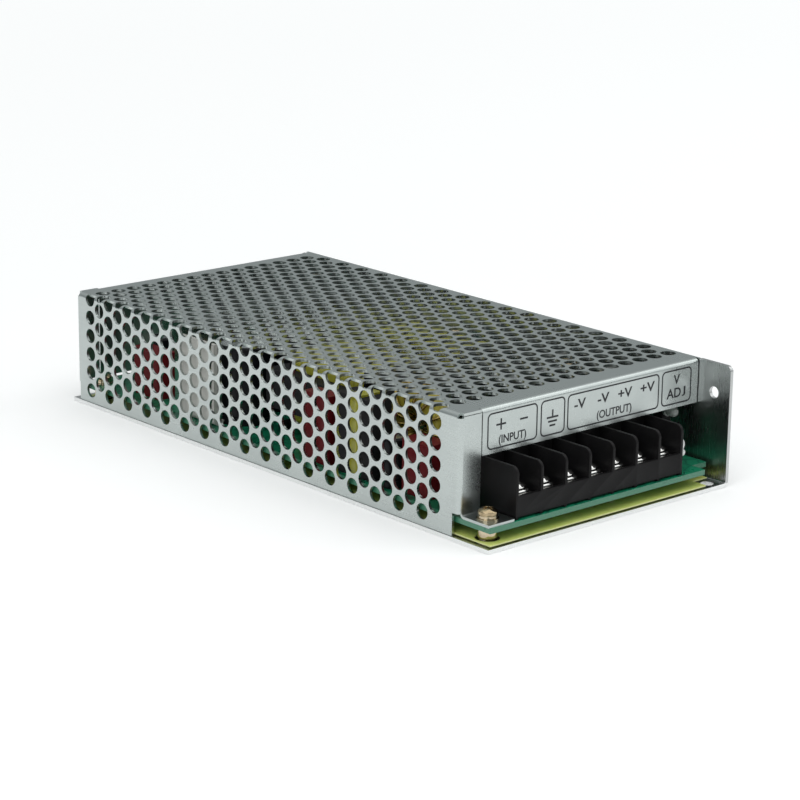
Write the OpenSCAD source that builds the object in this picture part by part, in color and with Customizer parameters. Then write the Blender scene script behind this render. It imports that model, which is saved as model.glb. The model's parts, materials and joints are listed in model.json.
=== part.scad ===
// Enclosed dc-dc converter: a folded L-shaped chassis, a folded perforated cover, a circuit board
// on standoffs, a barrier terminal block at the front and the power parts inside.
// Millimetres, +Z up. The origin is the middle of the footprint, on the underside of the chassis.
// The terminals face -Y, and the solid chassis wall stands at +X.

/* [Chassis] */
// Width across the case
case_w = 98; // [97:1:110]
// Length of the case, from the terminal end to the rear
case_l = 199; // [194:1:220]
// Height of the case
case_h = 37.1; // [37:0.1:46]
// Thickness of the folded chassis sheet
chassis_t = 1.2; // [1:0.1:1.6]
// Outside radius of the fold between base and wall
chassis_fold_r = 2; // [1.8:0.1:4]
// Radius of the wall's upper front corner
wall_corner_r = 1.8; // [0.5:0.1:4]
// Diameter of the plain hole in the wall's front corner
wall_hole_d = 3.6; // [3:0.1:4.4]
// Distance of that hole from the front end
wall_hole_inset = 6.2; // [4:0.1:8]
// Height of that hole above the underside
wall_hole_z = 28; // [26:0.1:31]
// Diameter of the plain hole in the base's front corner
base_hole_d = 4; // [3:0.1:4.4]
// Distance of that hole from the front end
base_hole_front = 3.4; // [3:0.1:5]
// Distance of that hole from the outside of the wall
base_hole_side = 5.6; // [5:0.1:6]
// Diameter of the tapped mounting holes in the base
mount_hole_d = 3.3; // [2.5:0.1:4.2]
// Spacing of the mounting holes across the case
mount_pitch_w = 56; // [40:1:66]
// Spacing of the mounting holes along the case
mount_pitch_l = 120; // [80:1:130]

/* [Cover] */
// Thickness of the cover sheet
cover_t = 0.8; // [0.6:0.1:1]
// Outside radius of the cover's folds
cover_fold_r = 1.4; // [1.2:0.1:2]
// Gap between the cover and the sides of the chassis
cover_gap = 0.3; // [0.2:0.05:0.6]
// Set-back of the front flange from the front end
front_setback = 12.6; // [11:0.1:15]
// Set-back of the rear face from the rear end
rear_setback = 2.1; // [1:0.1:4]
// Height of the front flange
flange_h = 13.5; // [8:0.1:13.8]
// Width of the corner tabs, folded from the side wall
tab_w = 8.1; // [7.6:0.1:9]
// Set-back of the side wall's lower front edge, beside the foot
foot_relief = 2.6; // [1.4:0.1:4]
// Width of the slit between a tab and its flange
slit_w = 0.4; // [0.3:0.1:0.8]
// Gap between the front flange and the chassis wall
flange_gap = 0.3; // [0.2:0.1:1.5]

/* [Perforations] */
// Diameter of the cover's holes
perf_d = 4.7; // [3:0.1:5]
// Pitch of the holes around the cover
perf_pitch = 6.1; // [5.8:0.05:8]
// Spacing of the rows along the cover
perf_row = 5.05; // [4.9:0.05:7]
// Height of the lowest holes above the underside
perf_base = 5.4; // [5:0.1:6]
// Distance from the rear face to the first row
perf_rear = 7.65; // [6:0.05:12]
// Least distance from the front flange to the last row
perf_front = 9.5; // [6:0.1:16]
// Least distance from the cover's right edge to a hole's centre
perf_edge = 3.4; // [3:0.1:8]
// Length of flat sheet that the long bend takes up
bend_run = 2.5; // [1.4:0.1:2.6]

/* [Board] */
// Length of the standoffs between base and board
standoff_h = 3.9; // [3:0.1:4.8]
// Diameter of the standoffs
standoff_d = 5.6; // [5:0.1:7]
// Thickness of the circuit board
board_t = 1.6; // [1:0.1:2]
// Gap between the board and what stands beside it
board_gap = 0.8; // [0.5:0.1:1.2]
// Set-back of the board from the front end
board_front_gap = 1.4; // [1:0.1:2]
// Width of the corner that the board leaves open at the front
notch_w = 7.8; // [7:0.1:9]
// Depth of that corner
notch_l = 5.2; // [4:0.1:9]
// Thickness of the insulating sheet
sheet_t = 0.4; // [0.2:0.1:0.8]
// Height at which the sheet lies above the base
sheet_lift = 0.4; // [0:0.1:0.8]
// Set-back of the sheet from the front end
sheet_front_gap = 0.8; // [0.5:0.1:2]
// Distance of the corner screws from the case's sides
screw_side = 5.8; // [5.4:0.1:6.4]
// Distance of the corner screws from the case's ends
screw_end = 6.6; // [6:0.1:7]

/* [Terminals] */
// Number of ways
ways = 7; // [5:1:7]
// Distance between ways
way_pitch = 9.5; // [8.6:0.1:9.5]
// Thickness of the barriers between ways
barrier_t = 1; // [0.8:0.1:1.3]
// Height of the barriers above the board
barrier_h = 15.3; // [13:0.1:15.8]
// Radius of a barrier's upper front corner
barrier_r = 2.2; // [0.5:0.1:4]
// Depth of the block from front to rear
block_depth = 16.6; // [15.5:0.1:18]
// Set-back of the block from the front end
block_front_gap = 2.2; // [1.8:0.1:3]
// Distance of the block from the case's left side
block_side = 12.3; // [11.5:0.1:14]
// Height of the lip in front of the terminals, above the board
lip_h = 6.7; // [5.5:0.1:7]
// Drop from that lip to the terminal plates' seat
seat_drop = 1.6; // [1.4:0.1:2.6]
// Height of the feet under the block
block_foot_h = 0.7; // [0.2:0.1:0.8]
// Thickness of a terminal plate
plate_t = 1; // [0.6:0.1:1.2]
// Width of a terminal plate
plate_w = 6.6; // [5:0.1:7.2]
// Thickness of a wire clamp
clamp_t = 0.9; // [0.6:0.1:1.2]
// Width of a square wire clamp
clamp_w = 6.2; // [5.8:0.1:7.2]
// Diameter of a terminal screw's shank
term_screw_d = 3.4; // [2.8:0.1:3.6]
// Diameter of a terminal screw's head
term_head_d = 6; // [5:0.1:6.6]
// Height of a terminal screw's head
term_head_h = 2; // [1.6:0.1:2.6]
// Distance of the terminal screws from the block's front
term_screw_y = 5.9; // [5:0.1:6.2]

/* [Fasteners] */
// Diameter of the small machine screws
screw_d = 3; // [2.5:0.1:3.2]
// Diameter of their pan heads
head_d = 5.6; // [5:0.1:6]
// Height of their pan heads
head_h = 2.2; // [1.6:0.1:2.6]
// Thickness of the flat washers
washer_t = 0.5; // [0.3:0.1:0.8]
// Thickness of the spring washers
spring_t = 0.8; // [0.5:0.1:1]
// Clearance around a shank in its hole
shank_gap = 0.1; // [0.05:0.05:0.2]
// Running clearance of a turning screw in its thread
thread_gap = 0.05; // [0.02:0.01:0.1]

/* [Power parts] */
// Diameter of the input capacitors
input_can_d = 18; // [14:0.5:19]
// Height of the input capacitors
input_can_h = 25; // [15:0.5:26]
// Diameter of the output capacitors
output_can_d = 12.5; // [8:0.5:14]
// Height of the output capacitors
output_can_h = 24; // [12:0.5:26]
// Length of the main transformer along its winding
transformer_l = 46; // [40:0.5:48]
// Width of the main transformer across its core
transformer_w = 36; // [34:0.5:38]
// Length of the output choke along its winding
choke_l = 50; // [40:0.5:54]
// Width of the output choke across its core
choke_w = 26; // [25:0.5:28]
// Height of both wound parts above the board
wound_h = 26; // [22:0.5:27]
// Outside diameter of the ring choke's core
ring_d = 22; // [20:0.5:23]
// Hole of the ring choke's core
ring_hole_d = 12; // [11:0.5:12.5]
// Width of the ring choke's core
ring_w = 8; // [7:0.5:9]
// Diameter of the ring choke's wire
ring_wire_d = 1; // [0.6:0.1:1.1]
// Thickness of the pads behind the power transistors
pad_t = 0.3; // [0.2:0.05:0.6]
// Diameter of the parts' leads
lead_d = 0.8; // [0.5:0.1:1]

/* [Hidden] */
$fn = 48;
// Overlap of pieces of one sheet, and reach of a cutting tool past a face
lap = 1;

// Chassis faces
front = -case_l / 2;
rear = case_l / 2;
wall_inner = case_w / 2 - chassis_t;

// Cover faces
cover_left = -case_w / 2 + cover_gap;
cover_right = case_w / 2 - cover_gap;
cover_front = front + front_setback;
cover_rear = rear - rear_setback;
cover_under = case_h - cover_t;
flange_left = cover_left + tab_w + slit_w;
flange_right = wall_inner - flange_gap;

// Board and sheet levels and edges
board_bottom = chassis_t + standoff_h;
board_top = board_bottom + board_t;
board_left = cover_left + cover_t + board_gap;
board_right = wall_inner - 2 * board_gap;
board_front = front + board_front_gap;
board_rear = cover_rear - cover_t - board_gap;
sheet_bottom = chassis_t + sheet_lift;
foot_front = board_front + cover_gap;
foot_corner_r = 0.8;

// Corner and right-hand fixings of the board: place, and what the screw clamps above the board
right_screw_y = cover_front + 17;
board_fixings = [
    [-case_w / 2 + screw_side, front + screw_end, cover_t],
    [-case_w / 2 + screw_side, rear - screw_end - rear_setback, 0],
    [case_w / 2 - screw_side - chassis_t, rear - screw_end - rear_setback, 0],
    [case_w / 2 - screw_side - chassis_t, right_screw_y, 0]];
swage_d = standoff_d - 1.6;
cover_screw_z = [14, 30];
cover_screw_l = 4;
ear_l = 10;
ear_bottom = 9;
ear_top = case_h - 3;

// Developed length of the cover sheet, from the underside up the wall and over the fold
wall_run = case_h - cover_fold_r;
panel_start = wall_run + bend_run;
panel_end = panel_start + cover_right - cover_left - cover_fold_r;
perf_rows = floor((cover_rear - perf_rear - cover_front - perf_front) / perf_row) + 1;

// Terminal block faces
block_left = -case_w / 2 + block_side;
block_w = ways * way_pitch + barrier_t;
block_front = front + block_front_gap;
block_rear = block_front + block_depth;
block_back_t = 1.5;
lip_t = 1.2;
seat_h = lip_h - seat_drop;
seat_z = board_top + seat_h;
plate_top = seat_z + plate_t;
clamp_top = plate_top + thread_gap + clamp_t;
well_z = board_top + block_foot_h + 0.6;
screw_tip_gap = 0.3;
term_screw_l = clamp_top + thread_gap - well_z - screw_tip_gap;
screw_y = block_front + term_screw_y;
screw_well_d = term_screw_d + 0.8;
plate_front = block_front + lip_t + 0.3;
plate_rear = block_rear - block_back_t - 0.4;
pin_w = 2.4;
pin_below = 1.2;
way_x = [for (k = [0:ways - 1]) block_left + barrier_t / 2 + (k + 0.5) * way_pitch];

// Lamp between the block and the wall, and the trimmer that is reached past the block's end
trimmer_w = 6;
trimmer_d = 5;
trimmer_h = 8;
trimmer_lamp_gap = 2.6;
trimmer_block_gap = 1;
rotor_d = 3.4;
rotor_l = 1.6;
lamp_d = 3;
lamp_l = 2.8;
lamp_rim_d = 3.6;
lamp_rim_t = 0.8;
lamp_wall_bias = 1.2;
lamp_flange_gap = 0.4;
lamp_x = (block_left + block_w + wall_inner) / 2 + lamp_wall_bias;
lamp_y = cover_front + cover_t + lamp_flange_gap + lamp_d / 2;
lamp_z = board_top + 14.5;
trimmer_x = lamp_x - trimmer_lamp_gap - trimmer_w / 2;
trimmer_y = block_rear + trimmer_block_gap;
trimmer_z = board_top + 4.6;

// Layout on the board: front parts lie behind the block, left parts along the left edge,
// and the control parts along the rear
bay_front = block_rear;
bay_left = board_left;
bay_rear = rear;

// Wound parts: middle of each in plan, and the sections they share
transformer_at = [bay_left + 29.6, bay_front + 72.7];
choke_at = [transformer_at[0] + (transformer_w + choke_w) / 2 + 4.5, bay_front + 76.7];
drive_at = [bay_left + 6.1, bay_front + 43.2];
ring_at = [transformer_at[0] - 9, bay_front + 33.7];
wound_foot = 2;
wound_axis = board_top + wound_foot + (wound_h - wound_foot) / 2;
rail_l = 4;
bobbin_wall = 1;
core_joint = 0.1;
transformer_leg = 5;
transformer_depth = 12;
choke_leg = 4;
choke_depth = 11;
drive_l = 16;
drive_w = 8;
drive_h = 24;
drive_coil_l = 5;

// Upright round capacitors, in plan
input_can_pitch = input_can_d + 2.5;
input_cans = [for (k = [0:2]) [bay_left + 14.6 + k * input_can_pitch, bay_front + 109.7 + 3 * k]];
output_cans = [for (x = [-13, 5], y = [14.7, 31.7]) [choke_at[0] + x, bay_front + y]];
small_cans = [[bay_left + 5.6, bay_front + 29], [34, bay_rear - 35.5], [24, bay_rear - 16],
    [-26, bay_rear - 17.5]];
small_can_d = 8;
small_can_h = 15;
can_lead_share = 0.4;

// Film capacitors: middle in plan, thickness, length and height
film_blocks = [[bay_left + 9.1, bay_rear - 29.5, 7, 15, 15], [bay_left + 5.1, bay_front + 60.7, 6, 11, 21],
    [bay_left + 7.1, bay_front + 17.7, 8, 12, 16]];
film_r = 1.2;

// Upright plate near the left wall
plate_at = [bay_left + 2.1, bay_front + 117.7];
heat_t = 1.5;
heat_l = 18;
heat_foot = 2.6;
heat_h = 26;

// Devices on the chassis wall, each at its distance along the case
transistor_y = [bay_front + 30.7, bay_front + 48.7];
rectifier_y = [bay_front + 100.7, bay_front + 118.7];
device_w = 10;
device_t = 4.4;
device_body_h = 9;
device_tab_h = 6.5;
device_tab_t = 1.3;
device_lift = 4;
device_hole_z = board_top + device_lift + device_body_h + 3.4;
device_back = wall_inner - pad_t;
device_lead_pitch = 2.54;
device_lead_x = device_back - 2.4;

// Fuse across the board behind the input ways
fuse_at = [transformer_at[0] - 6.5, bay_front + 6];
fuse_l = 20;
fuse_d = 5;
fuse_cap_l = 5;
fuse_axis = board_top + 4.4;
strip_t = 0.5;
clip_w = 3.6;
clip_foot_w = 1.5;

// Control parts
chip_at = [18, bay_rear - 26];
chip_l = 19;
chip_w = 6.4;
chip_h = 3.4;
chip_lift = 0.8;
chip_edge_r = 0.3;
opto_at = [[-6, bay_rear - 33.5], [-6, bay_rear - 21.5]];
opto_l = 4.6;
chip_pin_pitch = 2.54;
chip_pin_w = 1;
chip_pin_t = 0.6;
resistor_at = [for (y = [37.5, 31.5, 25.5]) [-18, bay_rear - y], for (x = [-4, 8]) [x, bay_rear - 12]];
resistor_d = 2.6;
resistor_l = 7;
resistor_z = board_top + resistor_d / 2 + 0.2;

// Rectangle from the origin, its corner there rounded
module rounded_corner(w, h, r) {
    translate([r, 0]) square([w - r, h]);
    translate([0, r]) square([w, h - r]);
    translate([r, r]) circle(r);
}

// Section of a folded sheet: two legs that meet in a round fold at the origin
module fold_profile(leg_a, leg_b, t, r) {
    difference() {
        rounded_corner(leg_a, leg_b, r);
        translate([t, t]) rounded_corner(leg_a, leg_b, r - t);
    }
}

// Rectangle about the origin with four round corners
module rounded_rect(w, l, r) {
    square([w - 2 * r, l], center = true);
    square([w, l - 2 * r], center = true);
    for (x = [-1, 1], y = [-1, 1])
        translate([x * (w / 2 - r), y * (l / 2 - r)]) circle(r);
}

// Extrusions along X and Y: the section's second axis becomes height
module along_x(length) {
    rotate([90, 0, 90]) linear_extrude(length) children();
}

module along_y(length) {
    translate([0, length, 0]) rotate([90, 0, 0]) linear_extrude(length) children();
}

// Hole tool along X that starts at the given place
module drill_x(d, length) {
    rotate([0, 90, 0]) cylinder(d = d, h = length);
}

// Pan head with a crowned top and a cross recess, seated at the origin
module pan_head(d, h) {
    crown_r = d * 0.75;
    recess_w = d * 0.16;
    recess_l = d * 0.58;
    difference() {
        intersection() {
            cylinder(d = d, h = h);
            translate([0, 0, h - crown_r]) sphere(crown_r);
        }
        translate([0, 0, h]) {
            cube([recess_l, recess_w, h], center = true);
            cube([recess_w, recess_l, h], center = true);
        }
    }
}

// Lead through the board, under a part's seat
module lead(at) {
    translate([at[0], at[1], board_bottom - pin_below])
        cylinder(d = lead_d, h = board_t + pin_below + lap / 2);
}

// Places of all leads in the board, by kind of part
function can_leads(cans, d) =
    [for (c = cans, s = [-1, 1]) [c[0] + s * d * can_lead_share / 2, c[1]]];
function film_leads() = [for (f = film_blocks, s = [-1, 1]) [f[0], f[1] + s * (f[3] / 2 - 2.5)]];
function device_leads(places) =
    [for (y = places, k = [-1:1]) [device_lead_x, y + k * device_lead_pitch]];
function wound_leads(at, length, width) =
    [for (s = [-1, 1], k = [-1.5:1.5]) [at[0] + k * width / 5, at[1] + s * (length / 2 - rail_l / 2)]];
function trimmer_leads() =
    [for (k = [-1, 1]) [trimmer_x + k * trimmer_w / 4, trimmer_y + trimmer_d / 2]];
function resistor_leads() = [for (r = resistor_at, s = [-1, 1]) [r[0] + s * (resistor_l / 2 + 1.5), r[1]]];
board_leads = concat(can_leads(input_cans, input_can_d), can_leads(output_cans, output_can_d),
    can_leads(small_cans, small_can_d), film_leads(), device_leads(transistor_y),
    device_leads(rectifier_y), wound_leads(transformer_at, transformer_l, transformer_w),
    wound_leads(choke_at, choke_l, choke_w), resistor_leads(), trimmer_leads());

// Chassis: base and right wall, one folded sheet
module chassis_sheet() {
    translate([case_w / 2, front, 0])
        along_y(case_l)
            mirror([1, 0]) fold_profile(case_w, case_h, chassis_t, chassis_fold_r);
}

module chassis() {
    color("lightgray") difference() {
        chassis_sheet();
        // The wall is lower where the cover lies on it
        translate([wall_inner - lap, cover_front - cover_gap, cover_under])
            cube([chassis_t + 2 * lap, case_l, cover_t + lap]);
        // Round upper front corner of the wall
        translate([wall_inner - lap, front, case_h]) difference() {
            translate([0, -lap, -wall_corner_r])
                cube([chassis_t + 2 * lap, wall_corner_r + lap, wall_corner_r + lap]);
            translate([-lap, wall_corner_r, -wall_corner_r])
                drill_x(2 * wall_corner_r, chassis_t + 4 * lap);
        }
        translate([wall_inner - lap, front + wall_hole_inset, wall_hole_z])
            drill_x(wall_hole_d, chassis_t + 2 * lap);
        translate([case_w / 2 - base_hole_side, front + base_hole_front, -lap])
            cylinder(d = base_hole_d, h = chassis_t + 2 * lap);
        for (x = [-1, 1], y = [-1, 1])
            translate([x * mount_pitch_w / 2, y * mount_pitch_l / 2, -lap])
                cylinder(d = mount_hole_d, h = chassis_t + 2 * lap);
        for (f = board_fixings)
            translate([f[0], f[1], -lap]) cylinder(d = swage_d, h = chassis_t + 2 * lap);
        for (y = concat(transistor_y, rectifier_y))
            translate([wall_inner - lap, y, device_hole_z])
                drill_x(screw_d + 2 * shank_gap, chassis_t + 2 * lap);
        for (z = cover_screw_z)
            translate([wall_inner - lap, cover_screw_y(), z]) {
                drill_x(screw_d + 2 * shank_gap, chassis_t + 2 * lap);
                translate([lap, 0, 0]) countersink(2 * shank_gap);
            }
    }
}

// Flush screws that hold the cover's rear ear to the wall
function cover_screw_y() = cover_rear - cover_t - ear_l / 2;

module countersink(extra) {
    rotate([0, 90, 0])
        cylinder(d1 = screw_d + extra, d2 = screw_d + 2 * chassis_t + extra, h = chassis_t);
}

module cover_screws() {
    color("gainsboro") for (z = cover_screw_z)
        translate([wall_inner, cover_screw_y(), z]) difference() {
            union() {
                countersink(0);
                translate([-cover_screw_l, 0, 0]) drill_x(screw_d, cover_screw_l);
            }
            translate([chassis_t, 0, 0]) cube([chassis_t, screw_d / 5, screw_d], center = true);
            translate([chassis_t, 0, 0]) cube([chassis_t, screw_d, screw_d / 5], center = true);
        }
}

// Cover: side wall and top in one fold
module cover_shell() {
    translate([cover_left, cover_front + cover_fold_r, case_h])
        along_y(cover_rear - cover_front - 2 * cover_fold_r)
            mirror([0, 1])
                fold_profile(cover_right - cover_left, case_h - chassis_t, cover_t, cover_fold_r);
}

// One end of the cover about its outer face at y = 0: the flange folded from the top,
// the top's square strips beside it and the tab folded from the side wall
module cover_end(flange_height, tab_bottom, right) {
    translate([flange_left, 0, case_h])
        along_x(right - flange_left)
            mirror([0, 1]) fold_profile(cover_fold_r + lap, flange_height, cover_t, cover_fold_r);
    translate([cover_left + cover_fold_r, 0, cover_under])
        cube([tab_w - cover_fold_r, cover_fold_r + lap, cover_t]);
    translate([right + slit_w, 0, cover_under])
        cube([cover_right - right - slit_w, cover_fold_r + lap, cover_t]);
    translate([cover_left, 0, tab_bottom])
        linear_extrude(case_h - cover_fold_r - tab_bottom)
            fold_profile(tab_w, cover_fold_r + lap, cover_t, cover_fold_r);
    translate([cover_left + cover_fold_r, 0, case_h - cover_fold_r - lap])
        cube([tab_w - cover_fold_r, cover_t, cover_fold_r + lap - cover_t - slit_w / 2]);
}

// Foot folded forward from the front tab, on the board under the corner screw.
// In front of the tab it reaches right to the terminal block
module cover_foot() {
    foot_left = cover_left + cover_fold_r;
    foot_w = block_left - slit_w - foot_left;
    translate([foot_left, cover_front + cover_t, board_top])
        mirror([0, 1, 0])
            along_x(tab_w - cover_fold_r)
                fold_profile(cover_front + cover_t - foot_front, cover_fold_r + lap, cover_t, cover_fold_r);
    translate([foot_left + foot_w, foot_front, board_top])
        linear_extrude(cover_t)
            mirror([1, 0]) rounded_corner(foot_w, cover_front - slit_w - foot_front, foot_corner_r);
}

// Ear folded forward from the rear flange, along the inside of the chassis wall
module cover_ear() {
    translate([wall_inner - shank_gap, cover_rear, ear_bottom])
        mirror([1, 0, 0]) mirror([0, 1, 0])
            linear_extrude(ear_top - ear_bottom)
                fold_profile(flange_gap + cover_fold_r + lap, ear_l + cover_t, cover_t, cover_fold_r);
}

// One hole at a developed length: through the wall, or past the fold through the top
module perforation(run) {
    if (run < wall_run + bend_run / 2)
        translate([cover_left - lap, 0, run]) drill_x(perf_d, cover_fold_r + lap);
    else
        translate([cover_left + cover_fold_r + run - panel_start, 0, wall_run])
            cylinder(d = perf_d, h = cover_fold_r + lap);
}

// Staggered rows: every second row is shifted by half a pitch around the fold
module perforations() {
    for (i = [0:perf_rows - 1])
        translate([0, cover_rear - perf_rear - i * perf_row, 0])
            for (run = [perf_base + (i % 2) * perf_pitch / 2 : perf_pitch : panel_end - perf_edge])
                perforation(run);
}

module cover() {
    rear_gap = 0.5;
    color("silver") difference() {
        union() {
            cover_shell();
            translate([0, cover_front, 0]) cover_end(flange_h, board_top + cover_fold_r, flange_right);
            translate([0, cover_rear, 0]) mirror([0, 1, 0])
                cover_end(case_h - board_top - rear_gap, board_top + rear_gap, flange_right);
            cover_foot();
            cover_ear();
        }
        perforations();
        translate([cover_left - lap, cover_front - lap, 0])
            cube([cover_fold_r + lap, foot_relief + lap, board_top + cover_fold_r]);
        translate([board_fixings[0][0], board_fixings[0][1], board_top - lap])
            cylinder(d = screw_d + 2 * shank_gap, h = cover_t + 2 * lap);
        for (z = cover_screw_z)
            translate([wall_inner - lap - cover_t, cover_screw_y(), z])
                drill_x(screw_d + 2 * shank_gap, 2 * lap + cover_t);
    }
}

// Plan of the board, or of a sheet with the same open corner
module board_plan(near, reach) {
    difference() {
        translate([board_left - reach, near])
            square([board_right - board_left + reach, board_rear - near]);
        translate([case_w / 2 - notch_w - chassis_t, near - lap]) square([case_w, notch_l + lap]);
    }
}

module insulating_sheet() {
    color("yellowgreen") translate([0, 0, sheet_bottom]) linear_extrude(sheet_t) difference() {
        board_plan(front + sheet_front_gap, board_gap / 2);
        for (f = board_fixings)
            translate([f[0], f[1]]) circle(d = standoff_d + 1.6);
        for (x = [-1, 1], y = [-1, 1])
            translate([x * mount_pitch_w / 2, y * mount_pitch_l / 2]) circle(d = mount_hole_d + 3);
    }
}

// Round standoffs, swaged into the base
module standoffs() {
    color("gainsboro") for (f = board_fixings)
        translate([f[0], f[1], 0]) difference() {
            union() {
                translate([0, 0, chassis_t]) cylinder(d = standoff_d, h = standoff_h);
                cylinder(d = swage_d - 2 * thread_gap, h = chassis_t + lap);
            }
            translate([0, 0, chassis_t]) cylinder(d = screw_d + 2 * thread_gap, h = standoff_h + lap);
        }
}

module circuit_board() {
    color("seagreen") translate([0, 0, board_bottom]) linear_extrude(board_t) difference() {
        board_plan(board_front, 0);
        for (f = board_fixings)
            translate([f[0], f[1]]) circle(d = screw_d + 2 * shank_gap);
        for (p = board_leads)
            translate(p) circle(d = lead_d + 2 * shank_gap);
        for (x = way_x)
            translate([x - pin_w / 2 - shank_gap, plate_rear - plate_t - shank_gap])
                square([pin_w + 2 * shank_gap, plate_t + 2 * shank_gap]);
    }
}

// Screws with washers, each clamping the board or the cover's foot
module board_screws() {
    grip = standoff_h - 0.6;
    color("gainsboro") for (f = board_fixings) {
        seat = board_top + f[2] + washer_t + spring_t;
        translate([f[0], f[1], seat]) pan_head(head_d, head_h);
        translate([f[0], f[1], board_bottom - grip])
            cylinder(d = screw_d, h = seat - board_bottom + grip + head_h / 4);
    }
}

module washer_ring(d, t) {
    linear_extrude(t) difference() {
        circle(d = d);
        circle(d = screw_d + 2 * shank_gap);
    }
}

module flat_washers() {
    color("lightgray") for (f = board_fixings)
        translate([f[0], f[1], board_top + f[2]]) washer_ring(head_d + 0.8, washer_t);
}

// Split spring washers
module spring_washers() {
    split = 0.5;
    color("silver") for (f = board_fixings)
        translate([f[0], f[1], board_top + f[2] + washer_t]) difference() {
            washer_ring(head_d, spring_t);
            translate([0, -split / 2, -lap]) cube([head_d, split, spring_t + 2 * lap]);
        }
}

// Terminal block: one moulding with barriers, a front lip, a back wall and screw wells
module barrier_profile() {
    difference() {
        square([block_depth, barrier_h]);
        translate([-lap, barrier_h + lap]) mirror([0, 1]) difference() {
            square([barrier_r + lap, barrier_r + lap]);
            translate([barrier_r + lap, barrier_r + lap]) circle(barrier_r);
        }
    }
}

module terminal_block() {
    color([0.13, 0.13, 0.14]) difference() {
        translate([block_left, block_front, board_top]) {
            for (k = [0:ways])
                translate([k * way_pitch, 0, 0]) along_x(barrier_t) barrier_profile();
            translate([0, 0, block_foot_h]) cube([block_w, block_depth, seat_h - block_foot_h]);
            translate([0, 0, block_foot_h]) cube([block_w, lip_t, lip_h - block_foot_h]);
            translate([0, block_depth - block_back_t, block_foot_h])
                cube([block_w, block_back_t, barrier_h - block_foot_h]);
        }
        for (x = way_x) {
            translate([x, screw_y, well_z]) cylinder(d = screw_well_d, h = seat_h);
            translate([x - pin_w / 2 - shank_gap, plate_rear - plate_t - shank_gap, board_top - lap])
                cube([pin_w + 2 * shank_gap, plate_t + 2 * shank_gap, seat_h + 2 * lap]);
        }
    }
}

// Tapped terminal plates, each with its pin down through the block and the board
module terminal_plates() {
    color("white") for (x = way_x) {
        translate([x, 0, seat_z]) linear_extrude(plate_t) difference() {
            translate([-plate_w / 2, plate_front]) square([plate_w, plate_rear - plate_front]);
            translate([0, screw_y]) circle(d = term_screw_d + 2 * thread_gap);
        }
        translate([x - pin_w / 2, plate_rear - plate_t, board_bottom - pin_below])
            cube([pin_w, plate_t, plate_top - board_bottom + pin_below]);
    }
}

// Square wire clamp under the head of its terminal screw
module wire_clamp(way) {
    color("gainsboro") translate([way_x[way - 1], screw_y, plate_top + thread_gap])
        linear_extrude(clamp_t) difference() {
            rounded_rect(clamp_w, clamp_w, 0.8);
            circle(d = term_screw_d + 4 * shank_gap);
        }
}

module terminal_screw(way) {
    color("whitesmoke") translate([way_x[way - 1], screw_y, clamp_top + thread_gap]) {
        pan_head(term_head_d, term_head_h);
        translate([0, 0, -term_screw_l]) cylinder(d = term_screw_d, h = term_screw_l + term_head_h / 4);
    }
}

// Upright trimmer with a slotted rotor that faces the front
module trimmer_body() {
    color("seagreen") difference() {
        union() {
            translate([trimmer_x - trimmer_w / 2, trimmer_y, board_top])
                cube([trimmer_w, trimmer_d, trimmer_h]);
            for (p = trimmer_leads()) lead(p);
        }
        translate([trimmer_x, trimmer_y - lap, trimmer_z])
            rotate([-90, 0, 0]) cylinder(d = rotor_d + 2 * thread_gap, h = rotor_l + lap);
    }
}

module trimmer_rotor() {
    proud = 0.5;
    slot_w = 0.7;
    color("gainsboro") translate([trimmer_x, trimmer_y - proud, trimmer_z]) difference() {
        rotate([-90, 0, 0]) cylinder(d = rotor_d, h = rotor_l + proud - thread_gap);
        translate([-rotor_d, -lap, -slot_w / 2]) cube([2 * rotor_d, lap + 0.8, slot_w]);
    }
}

// Indicator lamp: a domed lens that faces the front below the flange, with a rim against its holder
module indicator_lamp() {
    color("honeydew") translate([lamp_x, lamp_y, lamp_z]) {
        sphere(d = lamp_d);
        rotate([-90, 0, 0]) cylinder(d = lamp_d, h = lamp_l);
        translate([0, lamp_l - lamp_rim_t, 0]) rotate([-90, 0, 0]) cylinder(d = lamp_rim_d, h = lamp_rim_t);
    }
}

module lamp_holder() {
    holder_depth = 3.8;
    color([0.1, 0.1, 0.1]) translate([lamp_x - lamp_rim_d / 2, lamp_y + lamp_l, board_top])
        cube([lamp_rim_d, holder_depth, lamp_z - board_top + lamp_rim_d / 2]);
}

// Two facing E-shaped core halves about the origin, with the middle leg along Y
module core_halves(length, width, leg, depth) {
    for (s = [0, 180]) rotate(s)
        translate([0, 0, -depth / 2]) linear_extrude(depth) difference() {
            translate([-width / 2, core_joint / 2]) square([width, (length - core_joint) / 2]);
            for (side = [-1, 1])
                translate([side * (width / 4) - (width / 2 - 2 * leg) / 2, -lap])
                    square([width / 2 - 2 * leg, length / 2 - leg + lap]);
        }
}

// Bobbin on the core's middle leg: tube, end flanges, and pin rails on the board
module bobbin(at, length, width, leg, depth) {
    run = length - 2 * leg - 2 * shank_gap;
    tube_w = 2 * leg + 2 * bobbin_wall + 2 * shank_gap;
    tube_h = depth + 2 * bobbin_wall + 2 * shank_gap;
    rail_z = board_top - wound_axis + wound_foot / 2;
    translate([at[0], at[1], wound_axis]) difference() {
        union() {
            cube([tube_w, run, tube_h], center = true);
            for (s = [-1, 1]) {
                translate([0, s * (run - bobbin_wall) / 2, 0])
                    cube([width - 2 * leg - 2 * shank_gap, bobbin_wall, wound_h - wound_foot],
                        center = true);
                translate([0, s * (length - rail_l) / 2, rail_z])
                    cube([width - 2 * leg, rail_l, wound_foot], center = true);
                translate([0, s * (length - leg - rail_l) / 2, rail_z])
                    cube([tube_w, leg + rail_l, wound_foot], center = true);
            }
        }
        cube([2 * leg + 2 * shank_gap, length, depth + 2 * shank_gap], center = true);
    }
    for (p = wound_leads(at, length, width)) lead(p);
}

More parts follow.
